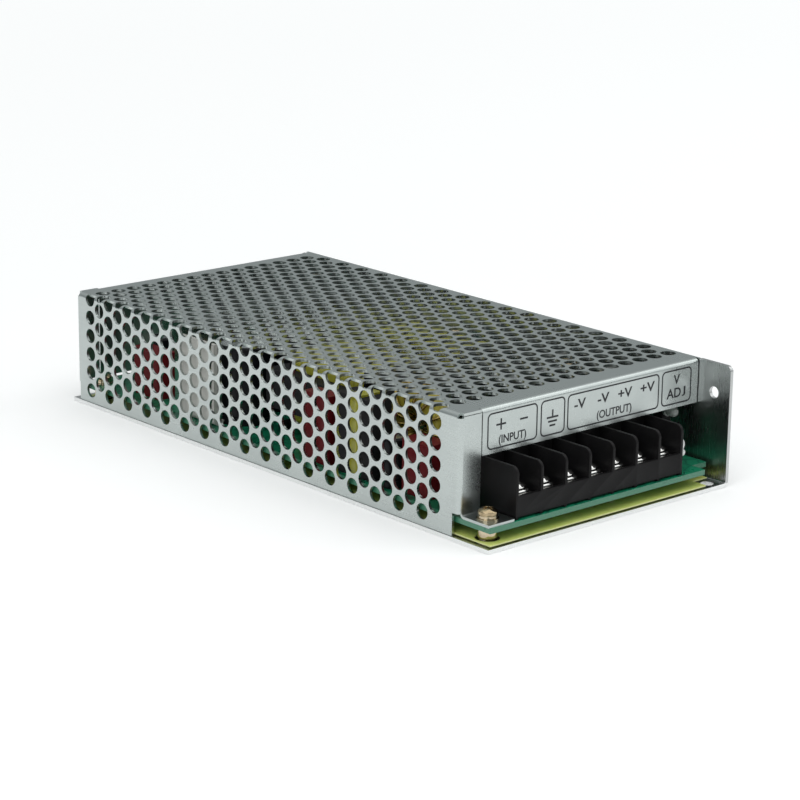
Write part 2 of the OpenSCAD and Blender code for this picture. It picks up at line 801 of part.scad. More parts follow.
// Taped winding between the bobbin's flanges
module winding(at, length, width, leg, depth) {
    run = length - 2 * leg - 2 * bobbin_wall - 4 * shank_gap;
    translate([at[0], at[1] - run / 2, wound_axis]) along_y(run) difference() {
        rounded_rect(width - 2 * leg - 4 * shank_gap, wound_h - wound_foot - 1, 3);
        square([2 * leg, depth] + 2 * (bobbin_wall + 2 * shank_gap) * [1, 1], center = true);
    }
}

module transformer_core() {
    color("dimgray") translate([transformer_at[0], transformer_at[1], wound_axis])
        core_halves(transformer_l, transformer_w, transformer_leg, transformer_depth);
}

module transformer_bobbin() {
    color([0.15, 0.15, 0.15])
        bobbin(transformer_at, transformer_l, transformer_w, transformer_leg, transformer_depth);
}

module transformer_winding() {
    color("khaki")
        winding(transformer_at, transformer_l, transformer_w, transformer_leg, transformer_depth);
}

module output_choke_core() {
    color("dimgray") translate([choke_at[0], choke_at[1], wound_axis])
        core_halves(choke_l, choke_w, choke_leg, choke_depth);
}

module output_choke_bobbin() {
    color([0.15, 0.15, 0.15]) bobbin(choke_at, choke_l, choke_w, choke_leg, choke_depth);
}

module output_choke_winding() {
    color("khaki") winding(choke_at, choke_l, choke_w, choke_leg, choke_depth);
}

// Ring choke on edge: the core's section and the loops of wire around it
ring_section_r = (ring_d + ring_hole_d) / 4;
ring_half_w = (ring_d - ring_hole_d) / 4;
loop_r = sqrt(pow(ring_half_w, 2) + pow(ring_w / 2, 2)) + ring_wire_d / 2 + shank_gap;
ring_axis = board_top + ring_section_r + loop_r + ring_wire_d / 2;
loops = 14;

module ring_choke_core() {
    edge_r = 0.8;
    color("gold") translate([ring_at[0], ring_at[1], ring_axis]) rotate([0, 90, 0])
        rotate_extrude() translate([ring_section_r, 0]) rounded_rect(2 * ring_half_w, ring_w, edge_r);
}

module ring_choke_winding() {
    color("peru") translate([ring_at[0], ring_at[1], ring_axis]) rotate([0, 90, 0])
        for (k = [0:loops - 1]) rotate((k + 0.5) * 360 / loops) translate([ring_section_r, 0, 0])
            rotate([90, 0, 0]) rotate_extrude() translate([loop_r, 0]) circle(d = ring_wire_d);
}

// Small drive transformer: two core blocks with a taped coil between them
module drive_transformer_core() {
    block_l = (drive_l - drive_coil_l) / 2;
    color([0.16, 0.16, 0.17]) for (s = [-1, 1])
        translate([drive_at[0], drive_at[1] + s * (drive_l - block_l) / 2, board_top])
            linear_extrude(drive_h) rounded_rect(drive_w, block_l, 0.5);
}

module drive_transformer_winding() {
    color("khaki") translate([drive_at[0], drive_at[1], board_top])
        linear_extrude(drive_h + 0.6) rounded_rect(drive_w + 1, drive_coil_l - 2 * shank_gap, 1);
}

// Upright electrolytic capacitor: sleeve with a rolled groove and a dished top
module can(at, d, h) {
    groove = 0.5;
    rim = 0.8;
    translate([at[0], at[1], board_top]) rotate_extrude() difference() {
        square([d / 2, h]);
        translate([d / 2, 2.4]) circle(groove);
        translate([-lap, h - groove]) square([d / 2 - rim + lap, groove + lap]);
        translate([d / 2, h]) rotate(45) square(rim, center = true);
    }
    for (p = can_leads([at], d)) lead(p);
}

module input_capacitors() {
    color([0.12, 0.12, 0.13]) for (c = input_cans) can(c, input_can_d, input_can_h);
}

module output_capacitors() {
    color([0.12, 0.12, 0.13]) for (c = output_cans) can(c, output_can_d, output_can_h);
}

module small_capacitors() {
    color([0.12, 0.12, 0.13]) for (c = small_cans) can(c, small_can_d, small_can_h);
}

module film_capacitors() {
    color("firebrick") {
        for (f = film_blocks)
            translate([f[0], f[1], board_top]) linear_extrude(f[4]) rounded_rect(f[2], f[3], film_r);
        for (p = film_leads()) lead(p);
    }
}

// Upright aluminium plate on the board, with a foot
module heat_plate() {
    color("lightgray") translate([plate_at[0] - heat_t / 2, plate_at[1] - heat_l / 2, board_top])
        along_y(heat_l) fold_profile(heat_foot, heat_h, heat_t, heat_t + 0.5);
}

// Three-legged power device, its metal tab against the pad on the wall
module power_device(y) {
    lead_w = 0.8;
    body_bottom = board_top + device_lift;
    difference() {
        union() {
            translate([device_back - device_t, y - device_w / 2, body_bottom])
                cube([device_t, device_w, device_body_h]);
            translate([device_back - device_tab_t, y - device_w / 2, body_bottom])
                cube([device_tab_t, device_w, device_body_h + device_tab_h]);
        }
        translate([device_back - device_t, y, device_hole_z])
            drill_x(screw_d + 2 * shank_gap, 2 * device_t);
    }
    for (k = [-1:1])
        translate([device_lead_x, y + k * device_lead_pitch, board_bottom - pin_below])
            cylinder(d = lead_w, h = body_bottom - board_bottom + pin_below + lap);
}

module power_transistors() {
    color([0.15, 0.15, 0.16]) for (y = transistor_y) power_device(y);
}

module rectifiers() {
    color([0.15, 0.15, 0.16]) for (y = rectifier_y) power_device(y);
}

module insulating_pads() {
    margin = 1;
    color("silver") for (y = concat(transistor_y, rectifier_y)) difference() {
        translate([device_back, y - device_w / 2 - margin, board_top + device_lift - margin])
            cube([pad_t, device_w + 2 * margin, device_body_h + device_tab_h + 2 * margin]);
        translate([device_back - lap, y, device_hole_z]) drill_x(screw_d + 2 * shank_gap, pad_t + 2 * lap);
    }
}

module device_screws() {
    reach = device_tab_t + pad_t + chassis_t;
    color("gainsboro") for (y = concat(transistor_y, rectifier_y))
        translate([device_back - device_tab_t, y, device_hole_z]) {
            rotate([0, -90, 0]) pan_head(head_d, head_h);
            translate([-head_h / 4, 0, 0]) drill_x(screw_d, reach + head_h / 4);
        }
}

// Glass fuse with end caps, held in two spring clips
module fuse() {
    color("whitesmoke") translate([fuse_at[0] - fuse_l / 2, fuse_at[1], fuse_axis]) {
        drill_x(fuse_d - 0.4, fuse_l);
        for (x = [0, fuse_l - fuse_cap_l]) translate([x, 0, 0]) drill_x(fuse_d, fuse_cap_l);
    }
}

module fuse_clips() {
    color("goldenrod") for (s = [-1, 1])
        translate([fuse_at[0] + s * (fuse_l - fuse_cap_l) / 2 - clip_w / 2, fuse_at[1], 0]) {
            translate([0, 0, fuse_axis]) along_x(clip_w) difference() {
                circle(d = fuse_d + 2 * shank_gap + 2 * strip_t);
                circle(d = fuse_d + 2 * shank_gap);
                translate([-fuse_d, fuse_d / 4]) square([2 * fuse_d, fuse_d]);
            }
            translate([0, -clip_foot_w / 2, board_top])
                cube([clip_w, clip_foot_w, fuse_axis - board_top - fuse_d / 2 - shank_gap - strip_t / 2]);
        }
}

// Small parts of the control circuit
module control_chip() {
    color([0.14, 0.14, 0.15]) translate([chip_at[0], chip_at[1], board_top]) {
        translate([0, 0, chip_lift]) linear_extrude(chip_h) difference() {
            rounded_rect(chip_l, chip_w, chip_edge_r);
            translate([-chip_l / 2, 0]) circle(chip_w / 5);
        }
        chip_pins([-3.5:3.5]);
    }
}

// Two rows of pins beside a chip
module chip_pins(places) {
    for (s = [-1, 1], k = places)
        translate([k * chip_pin_pitch, s * (chip_w + chip_pin_t) / 2, chip_h / 2])
            cube([chip_pin_w, chip_pin_t, chip_h], center = true);
}

module optocouplers() {
    color("ivory") for (p = opto_at) translate([p[0], p[1], board_top]) {
        translate([0, 0, chip_lift]) linear_extrude(chip_h) rounded_rect(opto_l, chip_w, chip_edge_r);
        chip_pins([-0.5, 0.5]);
    }
}

module resistors() {
    color("burlywood") {
        for (r = resistor_at) {
            reach = resistor_l / 2 + 1.5;
            translate([r[0] - resistor_l / 2, r[1], resistor_z]) drill_x(resistor_d, resistor_l);
            translate([r[0] - reach - lead_d / 2, r[1], resistor_z]) drill_x(lead_d, 2 * reach + lead_d);
        }
        for (p = resistor_leads())
            translate([p[0], p[1], board_bottom - pin_below])
                cylinder(d = lead_d, h = resistor_z - board_bottom + pin_below);
    }
}

chassis();
cover();
cover_screws();
insulating_sheet();
standoffs();
circuit_board();
board_screws();
flat_washers();
spring_washers();
terminal_block();
terminal_plates();
wire_clamp(1);  // wire_clamp_1
wire_clamp(2);  // wire_clamp_2
wire_clamp(3);  // wire_clamp_3
wire_clamp(4);  // wire_clamp_4
wire_clamp(5);  // wire_clamp_5
wire_clamp(6);  // wire_clamp_6
wire_clamp(7);  // wire_clamp_7
terminal_screw(1);  // terminal_screw_1
terminal_screw(2);  // terminal_screw_2
terminal_screw(3);  // terminal_screw_3
terminal_screw(4);  // terminal_screw_4
terminal_screw(5);  // terminal_screw_5
terminal_screw(6);  // terminal_screw_6
terminal_screw(7);  // terminal_screw_7
trimmer_body();
trimmer_rotor();
indicator_lamp();
lamp_holder();
transformer_core();
transformer_bobbin();
transformer_winding();
output_choke_core();
output_choke_bobbin();
output_choke_winding();
ring_choke_core();
ring_choke_winding();
drive_transformer_core();
drive_transformer_winding();
input_capacitors();
output_capacitors();
film_capacitors();
heat_plate();
power_transistors();
rectifiers();
insulating_pads();
device_screws();
fuse();
fuse_clips();
control_chip();
optocouplers();
small_capacitors();
resistors();
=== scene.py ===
"""Enclosed dc-dc converter: finishes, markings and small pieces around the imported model.

Metres, +Z up. The terminals face -Y, the solid chassis wall stands at +X, and the case rests on z = 0.
"""
import json
import math

import bpy
from mathutils import Matrix, Vector


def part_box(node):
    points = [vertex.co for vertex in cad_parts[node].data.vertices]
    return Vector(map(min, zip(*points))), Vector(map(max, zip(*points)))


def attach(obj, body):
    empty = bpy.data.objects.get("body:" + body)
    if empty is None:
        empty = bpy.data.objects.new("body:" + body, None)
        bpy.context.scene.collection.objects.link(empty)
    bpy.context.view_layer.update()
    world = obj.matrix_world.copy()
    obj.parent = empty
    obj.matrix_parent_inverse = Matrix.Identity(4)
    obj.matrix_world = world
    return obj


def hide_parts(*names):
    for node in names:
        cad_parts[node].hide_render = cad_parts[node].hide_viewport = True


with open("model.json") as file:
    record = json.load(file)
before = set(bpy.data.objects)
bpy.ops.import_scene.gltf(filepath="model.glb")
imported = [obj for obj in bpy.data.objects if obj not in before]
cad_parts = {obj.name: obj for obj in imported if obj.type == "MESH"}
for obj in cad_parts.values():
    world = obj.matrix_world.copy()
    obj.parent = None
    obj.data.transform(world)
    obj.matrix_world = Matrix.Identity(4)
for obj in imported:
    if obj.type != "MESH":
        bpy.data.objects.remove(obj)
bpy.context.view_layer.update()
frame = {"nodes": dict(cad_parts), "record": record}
nodes = frame["nodes"]
MM = 0.001

WAYS = range(1, 8)

# Thickness of the folded chassis sheet
SHEET_T = 1.2 * MM
# Height of a can's bare top with its rolled rim
CAN_RIM_H = 1.2 * MM
# Power devices, from the top down: where the tab ends, and where the legs start
TAB_H = 6.5 * MM
LEGS_FROM = 15.5 * MM
# Chips: width over the pins, and half of the body's width
PIN_SPAN = 7.6 * MM
CHIP_HALF = 3.205 * MM
# Length of a fuse's end cap
FUSE_CAP_L = 5 * MM
# Thickness of a resistor's body
RESISTOR_D = 2.6 * MM
# Depth of the bump of scratches in metal, of a moulded grain and of wound turns
SCRATCH_DEPTH = 0.01 * MM
GRAIN_DEPTH = 0.02 * MM
TURN_DEPTH = 0.05 * MM

# Outer face of the cover's front flange, and the ink printed on it
FLANGE_FACE = -86.9 * MM
INK_PROUD = 0.03 * MM
INK_DEPTH = 0.05 * MM
INK_SPREAD = 0.018
OUTLINE_W = 0.46 * MM
OUTLINE_CORNER = 1.6 * MM
OUTLINE_BOTTOM = 24.7 * MM
OUTLINE_TOP = 35.4 * MM
SIGN_LINE = 0.55 * MM
# Left and right edge of each printed outline, in millimetres
OUTLINES = {"outline_input": (-38.4, -19.0), "outline_earth": (-17.8, -8.1),
            "outline_output": (-7.2, 30.8), "outline_adjust": (31.9, 44.7)}
# Bars of each printed sign, in millimetres: middle, height, half length, stem up and stem down
SIGNS = {"sign_earth": [(-13.05, 30.0, 2.3, 2.2, 0), (-13.05, 28.8, 1.75, 0, 0), (-13.05, 27.6, 1.15, 0, 0)],
         "sign_input_plus": [(-33.15, 31.6, 1.85, 1.65, 1.65)],
         "sign_input_minus": [(-24.35, 31.7, 1.5, 0, 0)]}
# Printed words: what they say, then middle, base line, height and width in millimetres
WORDS = {"word_input": ("(INPUT)", -28.65, 25.3, 3.15, 10.6),
         "word_output_1": ("-V", -2.1, 30.5, 2.95, 4.6), "word_output_2": ("-V", 7.45, 30.5, 2.95, 4.7),
         "word_output_3": ("+V", 16.4, 30.5, 2.95, 5.8), "word_output_4": ("+V", 25.85, 30.5, 2.95, 6.0),
         "word_output": ("(OUTPUT)", 12.1, 25.3, 3.2, 14.4),
         "word_adjust_volt": ("V", 38.3, 30.75, 3.0, 2.7),
         "word_adjust": ("AD", 37.25, 26.7, 3.0, 6.1),
         "word_adjust_last": ("J", 41.5, 26.65, 3.0, 1.5)}

# Wire clamps: how far the stamped sides lean in, and the width of the rim that moves with them
CLAMP_LEAN = 0.33 * MM
CLAMP_RIM = 0.9 * MM
# Points this close to a level lie in it
LEVEL_WITHIN = 0.01 * MM
# Rounded edges: an edge sharper than this angle is rounded, in this many steps
EDGE_ANGLE = math.radians(35)
EDGE_STEPS = 2
CLAMP_EDGE = 0.12 * MM
TERMINAL_SCREW_EDGE = 0.16 * MM
# Fixed pieces with rounded edges: the new piece's name and its edge
ROUNDED = {"terminal_block": ("terminal_block_moulding", 0.22 * MM),
           "terminal_plates": ("terminal_plates_rounded", 0.12 * MM),
           "board_screws": ("board_screws_rounded", 0.12 * MM),
           "standoffs": ("standoffs_rounded", 0.15 * MM)}

# Silicone bead: half sizes of each lobe and its height above the block's feet, in millimetres
BEAD_LOBES = [((1.5, 0.7, 1.9), 9.0), ((1.9, 0.75, 1.2), 6.5)]
BEAD_FROM_FRONT = 0.8 * MM
BEAD_GRID = 0.12 * MM
BEAD_SMOOTHING = 6


# Node trees: short ways to add and join nodes

def place(tree, kind, inputs=None, **settings):
    """New node: settings are its own values, inputs are plain values or sockets to join."""
    node = tree.nodes.new(kind)
    for key, value in settings.items():
        setattr(node, key, value)
    for key, value in (inputs or {}).items():
        if isinstance(value, bpy.types.NodeSocket):
            tree.links.new(value, node.inputs[key])
        else:
            node.inputs[key].default_value = value
    return node


def maths(tree, operation, first, second=0.0, third=0.0):
    node = place(tree, "ShaderNodeMath", {0: first, 1: second, 2: third}, operation=operation)
    return node.outputs[0]


def spread(tree, value, low, high, start=0.0, end=1.0):
    """Value from low..high, stretched to start..end and held at its ends."""
    limits = {"Value": value, "From Min": low, "From Max": high, "To Min": start, "To Max": end}
    return place(tree, "ShaderNodeMapRange", limits).outputs["Result"]


def mixed(tree, factor, first, second):
    """Colour between two colours."""
    node = place(tree, "ShaderNodeMix", {0: factor, 6: first, 7: second}, data_type="RGBA")
    return node.outputs[2]


def object_place(tree):
    return place(tree, "ShaderNodeTexCoord").outputs["Object"]


def object_axes(tree):
    """X, Y and Z of the surface point, in metres."""
    return place(tree, "ShaderNodeSeparateXYZ", {0: object_place(tree)}).outputs


def facing_axes(tree):
    """X, Y and Z of the surface's own normal."""
    normal = place(tree, "ShaderNodeTexCoord").outputs["Normal"]
    return place(tree, "ShaderNodeSeparateXYZ", {0: normal}).outputs


def stretched(tree, x, y, z):
    """Object coordinates multiplied along each axis."""
    return place(tree, "ShaderNodeMapping", {"Vector": object_place(tree), "Scale": (x, y, z)}).outputs[0]


def noise(tree, vector, scale, detail=2.0, roughness=0.5):
    inputs = {"Vector": vector, "Scale": scale, "Detail": detail, "Roughness": roughness}
    return place(tree, "ShaderNodeTexNoise", inputs).outputs[0]


def colour(red, green, blue):
    return (red, green, blue, 1.0)


def new_group(name, inputs, outputs):
    """Empty shader node group with named sockets; gives the group, its input and its output sockets."""
    kinds = {"value": "NodeSocketFloat", "colour": "NodeSocketColor", "vector": "NodeSocketVector"}
    group = bpy.data.node_groups.new(name, "ShaderNodeTree")
    for label, (kind, start) in inputs.items():
        socket = group.interface.new_socket(name=label, in_out="INPUT", socket_type=kinds[kind])
        socket.default_value = start
    for label, kind in outputs.items():
        group.interface.new_socket(name=label, in_out="OUTPUT", socket_type=kinds[kind])
    return group, group.nodes.new("NodeGroupInput").outputs, group.nodes.new("NodeGroupOutput").inputs


SURFACE_OUT = {"Color": "colour", "Roughness": "value", "Height": "value"}
GREY = (0.5, 0.5, 0.5, 1.0)


def rolled_sheet_group():
    """Sheet metal: streaks drawn out where Across is small, soft crystal patches and handling smudges."""
    group, given, out = new_group("rolled_sheet", {
        "Bright": ("colour", GREY), "Dull": ("colour", GREY), "Streaks": ("value", 2500.0),
        "Across": ("vector", (1.0, 0.02, 1.0)),
        "Patches": ("value", 160.0), "Smooth": ("value", 0.2), "Rough": ("value", 0.4)}, SURFACE_OUT)
    drawn = place(group, "ShaderNodeVectorMath", {0: object_place(group), 1: given["Across"]},
                  operation="MULTIPLY").outputs[0]
    streak = noise(group, drawn, given["Streaks"], 3.0, 0.6)
    cell = place(group, "ShaderNodeTexVoronoi", {"Vector": object_place(group), "Scale": given["Patches"]},
                 feature="SMOOTH_F1").outputs["Color"]
    patch = place(group, "ShaderNodeSeparateColor", {0: cell}).outputs[0]
    smudge = spread(group, noise(group, object_place(group), 28.0, 4.0, 0.6), 0.35, 0.7)
    fine = maths(group, "MULTIPLY_ADD", streak, 0.5, maths(group, "MULTIPLY", patch, 0.22))
    mask = maths(group, "MULTIPLY_ADD", smudge, 0.28, fine)
    group.links.new(mixed(group, mask, given["Bright"], given["Dull"]), out["Color"])
    group.links.new(spread(group, mask, 0.1, 0.9, given["Smooth"], given["Rough"]), out["Roughness"])
    group.links.new(streak, out["Height"])
    return group


def moulded_skin_group():
    """Moulded or sintered skin: a fine grain, faint flow marks and a few paler specks."""
    group, given, out = new_group("moulded_skin", {
        "Tone": ("colour", GREY), "Pale": ("colour", GREY), "Grain": ("value", 2600.0),
        "Smooth": ("value", 0.35), "Rough": ("value", 0.55)}, SURFACE_OUT)
    grain = noise(group, object_place(group), given["Grain"], 2.0, 0.6)
    flow = noise(group, stretched(group, 1.0, 1.0, 0.35), 140.0, 4.0, 0.65)
    speck = spread(group, noise(group, object_place(group), 900.0, 1.0), 0.66, 0.74)
    mask = maths(group, "MULTIPLY_ADD", flow, 0.55, maths(group, "MULTIPLY", grain, 0.3))
    mask = maths(group, "MULTIPLY_ADD", speck, 0.25, mask)
    group.links.new(mixed(group, mask, given["Tone"], given["Pale"]), out["Color"])
    group.links.new(spread(group, flow, 0.3, 0.7, given["Smooth"], given["Rough"]), out["Roughness"])
    group.links.new(grain, out["Height"])
    return group


def plated_metal_group():
    """Plated or bare small metal: turning marks, dull spots and slight tarnish."""
    group, given, out = new_group("plated_metal", {
        "Bright": ("colour", GREY), "Tarnish": ("colour", GREY), "Marks": ("value", 5000.0),
        "Smooth": ("value", 0.15), "Rough": ("value", 0.35)}, SURFACE_OUT)
    marks = noise(group, stretched(group, 1.0, 1.0, 0.15), given["Marks"], 2.0)
    spots = spread(group, noise(group, object_place(group), 420.0, 3.0, 0.6), 0.42, 0.72)
    mask = maths(group, "MULTIPLY_ADD", marks, 0.35, maths(group, "MULTIPLY", spots, 0.55))
    group.links.new(mixed(group, mask, given["Bright"], given["Tarnish"]), out["Color"])
    group.links.new(spread(group, mask, 0.1, 0.8, given["Smooth"], given["Rough"]), out["Roughness"])
    group.links.new(marks, out["Height"])
    return group


def wound_turns_group():
    """Turns of tape or wire side by side along an axis, each with a darker lap."""
    group, given, out = new_group("wound_turns", {
        "Face": ("colour", GREY), "Lap": ("colour", GREY), "Axis": ("vector", (0.0, 1.0, 0.0)),
        "Turns": ("value", 200.0), "Smooth": ("value", 0.2), "Rough": ("value", 0.4)}, SURFACE_OUT)
    run = place(group, "ShaderNodeVectorMath", {0: object_place(group), 1: given["Axis"]},
                operation="DOT_PRODUCT").outputs["Value"]
    wander = maths(group, "MULTIPLY", noise(group, object_place(group), 90.0, 2.0), 0.5)
    turn = maths(group, "FRACT", maths(group, "MULTIPLY_ADD", run, given["Turns"], wander))
    lap = maths(group, "GREATER_THAN", turn, 0.9)
    cloud = noise(group, object_place(group), 240.0, 3.0)
    mask = maths(group, "MULTIPLY_ADD", cloud, 0.45, maths(group, "MULTIPLY", lap, 0.5))
    group.links.new(mixed(group, mask, given["Face"], given["Lap"]), out["Color"])
    group.links.new(spread(group, cloud, 0.3, 0.7, given["Smooth"], given["Rough"]), out["Roughness"])
    group.links.new(turn, out["Height"])
    return group


rolled_sheet = rolled_sheet_group()
moulded_skin = moulded_skin_group()
plated_metal = plated_metal_group()
wound_turns = wound_turns_group()


# Finishes of the converter's pieces

def new_finish(name, metallic=0.0, **sockets):
    """Material and its Principled shader, with what is the same all over set on the shader."""
    material = bpy.data.materials.new(name)
    material.use_nodes = True
    shader = material.node_tree.nodes["Principled BSDF"]
    shader.inputs["Metallic"].default_value = metallic
    for label, value in sockets.items():
        shader.inputs[label.replace("_", " ")].default_value = value
    return material, material.node_tree, shader


def grouped(tree, group, values):
    """The group placed in a material with its own values; gives its output sockets."""
    return place(tree, "ShaderNodeGroup", values, node_tree=group).outputs


def join_surface(tree, shader, base, roughness, height, depth, strength=0.3):
    """Colour, roughness and bump into the shader; depth is the bump's height in metres."""
    tree.links.new(base, shader.inputs["Base Color"])
    tree.links.new(roughness, shader.inputs["Roughness"])
    bump = place(tree, "ShaderNodeBump", {"Height": height, "Distance": depth, "Strength": strength})
    tree.links.new(bump.outputs[0], shader.inputs["Normal"])


def upright_faces(tree):
    """Mask of the faces that stand upright."""
    return maths(tree, "LESS_THAN", maths(tree, "ABSOLUTE", facing_axes(tree)["Z"]), 0.5)


def sheet_finish(name, bright, dull, smooth, rough, across, patches, sheared_edge_painted_reflection=None):
    """Sheet metal; the optional edge tone is painted on its sheared edge where the sheet lies on the floor,
    paler than the sheet as a painted reflection of the white floor.
    """
    material, tree, shader = new_finish(name, metallic=1.0)
    made = grouped(tree, rolled_sheet, {"Bright": bright, "Dull": dull, "Smooth": smooth, "Rough": rough,
                                        "Across": across, "Patches": patches})
    tone = made["Color"]
    # Painted reflection: upright faces below the sheet's thickness get a pale tone that stands in for the
    # white floor mirrored in the edge
    if sheared_edge_painted_reflection:
        lowest = maths(tree, "LESS_THAN", object_axes(tree)["Z"], SHEET_T)
        tone = mixed(tree, maths(tree, "MULTIPLY", upright_faces(tree), lowest), tone, sheared_edge_painted_reflection)
    join_surface(tree, shader, tone, made["Roughness"], made["Height"], SCRATCH_DEPTH, 0.03)
    return material


def metal_finish(name, bright, tarnish, smooth, rough, **sockets):
    material, tree, shader = new_finish(name, metallic=1.0, **sockets)
    made = grouped(tree, plated_metal, {"Bright": bright, "Tarnish": tarnish,
                                        "Smooth": smooth, "Rough": rough})
    join_surface(tree, shader, made["Color"], made["Roughness"], made["Height"], SCRATCH_DEPTH, 0.2)
    return material


def moulded_finish(name, tone, pale, smooth, rough, grain=2600.0, **sockets):
    material, tree, shader = new_finish(name, **sockets)
    made = grouped(tree, moulded_skin, {"Tone": tone, "Pale": pale, "Smooth": smooth, "Rough": rough,
                                        "Grain": grain})
    join_surface(tree, shader, made["Color"], made["Roughness"], made["Height"], GRAIN_DEPTH)
    return material


def tape_finish(name, axis, turns):
    """Yellow tape wound along an axis, with a number of turns to the metre."""
    material, tree, shader = new_finish(name)
    made = grouped(tree, wound_turns, {"Face": colour(0.52, 0.50, 0.06), "Lap": colour(0.34, 0.32, 0.03),
                                       "Axis": axis, "Turns": turns, "Smooth": 0.16, "Rough": 0.3})
    join_surface(tree, shader, made["Color"], made["Roughness"], made["Height"], TURN_DEPTH, 0.4)
    return material


def board_finish():
    """Solder mask over copper: paler pours, darker gaps between them, and a bare laminate edge."""
    material, tree, shader = new_finish("green_solder_mask", Coat_Weight=0.35, Coat_Roughness=0.12)
    squared = place(tree, "ShaderNodeMapping", {"Vector": object_place(tree), "Rotation": (0.0, 0.0, 0.78)})
    track_inputs = {"Vector": squared.outputs[0], "Scale": 190.0}
    near = place(tree, "ShaderNodeTexVoronoi", track_inputs, feature="F1", distance="CHEBYCHEV")
    next_near = place(tree, "ShaderNodeTexVoronoi", track_inputs, feature="F2", distance="CHEBYCHEV")
    gap = maths(tree, "SUBTRACT", next_near.outputs["Distance"], near.outputs["Distance"])
    copper = spread(tree, gap, 0.06, 0.1)
    mask = mixed(tree, copper, colour(0.002, 0.105, 0.055), colour(0.008, 0.235, 0.115))
    cloud = noise(tree, object_place(tree), 70.0, 4.0)
    mask = mixed(tree, maths(tree, "MULTIPLY", cloud, 0.35), mask, colour(0.02, 0.30, 0.17))
    weave = noise(tree, stretched(tree, 1.0, 1.0, 6.0), 1500.0, 2.0)
    laminate = mixed(tree, weave, colour(0.025, 0.16, 0.09), colour(0.08, 0.26, 0.16))
    base = mixed(tree, upright_faces(tree), mask, laminate)
    join_surface(tree, shader, base, spread(tree, cloud, 0.3, 0.7, 0.22, 0.4), copper, 0.04 * MM, 0.4)
    return material


def film_finish():
    """Thin insulating film, slightly cloudy, with paler cut edges."""
    material, tree, shader = new_finish("yellow_green_film", Coat_Weight=0.15, Coat_Roughness=0.2)
    cloud = noise(tree, object_place(tree), 60.0, 4.0, 0.6)
    base = mixed(tree, cloud, colour(0.62, 0.71, 0.14), colour(0.78, 0.84, 0.26))
    base = mixed(tree, upright_faces(tree), base, colour(0.74, 0.77, 0.36))
    ripple = noise(tree, object_place(tree), 180.0, 2.0)
    join_surface(tree, shader, base, spread(tree, cloud, 0.3, 0.7, 0.32, 0.5), ripple, 0.03 * MM)
    return material


def part_way(tree, factor, first, second):
    """Value between two values."""
    return place(tree, "ShaderNodeMix", {0: factor, 2: first, 3: second}).outputs[0]


def can_finish(node):
    """Black shrunk sleeve, rolled over the rim of a bare aluminium top."""
    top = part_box(node)[1].z
    material, tree, shader = new_finish(f"{node}_sleeve_and_top", Specular_IOR_Level=0.18)
    sleeve = grouped(tree, moulded_skin, {
        "Tone": colour(0.004, 0.004, 0.005), "Pale": colour(0.012, 0.013, 0.015),
        "Grain": 700.0, "Smooth": 0.25, "Rough": 0.4})
    shine = grouped(tree, plated_metal, {
        "Bright": colour(0.72, 0.73, 0.74), "Tarnish": colour(0.5, 0.51, 0.52),
        "Smooth": 0.25, "Rough": 0.42})
    above = maths(tree, "GREATER_THAN", object_axes(tree)["Z"], top - CAN_RIM_H)
    level = maths(tree, "GREATER_THAN", facing_axes(tree)["Z"], 0.9)
    bare = maths(tree, "MULTIPLY", above, level)
    tree.links.new(bare, shader.inputs["Metallic"])
    base = mixed(tree, bare, sleeve["Color"], shine["Color"])
    rough = part_way(tree, bare, sleeve["Roughness"], shine["Roughness"])
    join_surface(tree, shader, base, rough, sleeve["Height"], GRAIN_DEPTH)
    return material


def part_metal_finish(name, body_tone, body_pale, metal_mask, smooth=0.4, rough=0.6):
    """Moulded body and bright metal in one node: metal_mask(tree) gives 1 where the metal shows."""
    material, tree, shader = new_finish(name)
    body = grouped(tree, moulded_skin, {"Tone": body_tone, "Pale": body_pale,
                                        "Smooth": smooth, "Rough": rough})
    metal = grouped(tree, plated_metal, {
        "Bright": colour(0.75, 0.74, 0.71), "Tarnish": colour(0.5, 0.49, 0.46),
        "Smooth": 0.2, "Rough": 0.38})
    mask = metal_mask(tree)
    tree.links.new(mask, shader.inputs["Metallic"])
    base = mixed(tree, mask, body["Color"], metal["Color"])
    roughness = part_way(tree, mask, body["Roughness"], metal["Roughness"])
    join_surface(tree, shader, base, roughness, body["Height"], GRAIN_DEPTH)
    return material


def device_metal(node):
    """Mask of a power device's tab above its body and of its legs below it."""
    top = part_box(node)[1].z

    def mask(tree):
        height = object_axes(tree)["Z"]
        tab = maths(tree, "GREATER_THAN", height, top - TAB_H + LEVEL_WITHIN)
        legs = maths(tree, "LESS_THAN", height, top - LEGS_FROM - LEVEL_WITHIN)
        return maths(tree, "ADD", tab, legs)
    return mask


def pin_metal(node, rows):
    """Mask of the pins beside one or more chips, whose middles repeat along Y."""
    low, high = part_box(node)
    pitch = (high.y - low.y - PIN_SPAN) / max(rows - 1, 1) or 1.0
    first = low.y + PIN_SPAN / 2

    def mask(tree):
        run = maths(tree, "DIVIDE", maths(tree, "SUBTRACT", object_axes(tree)["Y"], first), pitch)
        off = maths(tree, "ABSOLUTE", maths(tree, "SUBTRACT", run, maths(tree, "ROUND", run)))
        return maths(tree, "GREATER_THAN", maths(tree, "MULTIPLY", off, pitch), CHIP_HALF)
    return mask


def fuse_caps():
    """Mask of the metal caps at the fuse's ends."""
    low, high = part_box("fuse")
    middle = (low.x + high.x) / 2
    tube_half = (high.x - low.x) / 2 - FUSE_CAP_L

    def mask(tree):
        off = maths(tree, "ABSOLUTE", maths(tree, "SUBTRACT", object_axes(tree)["X"], middle))
        return maths(tree, "GREATER_THAN", off, tube_half)
    return mask


def resistor_leads():
    """Mask of the wire leads below the resistors' bodies."""
    body_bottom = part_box("resistors")[1].z - RESISTOR_D

    def mask(tree):
        return maths(tree, "LESS_THAN", object_axes(tree)["Z"], body_bottom)
    return mask


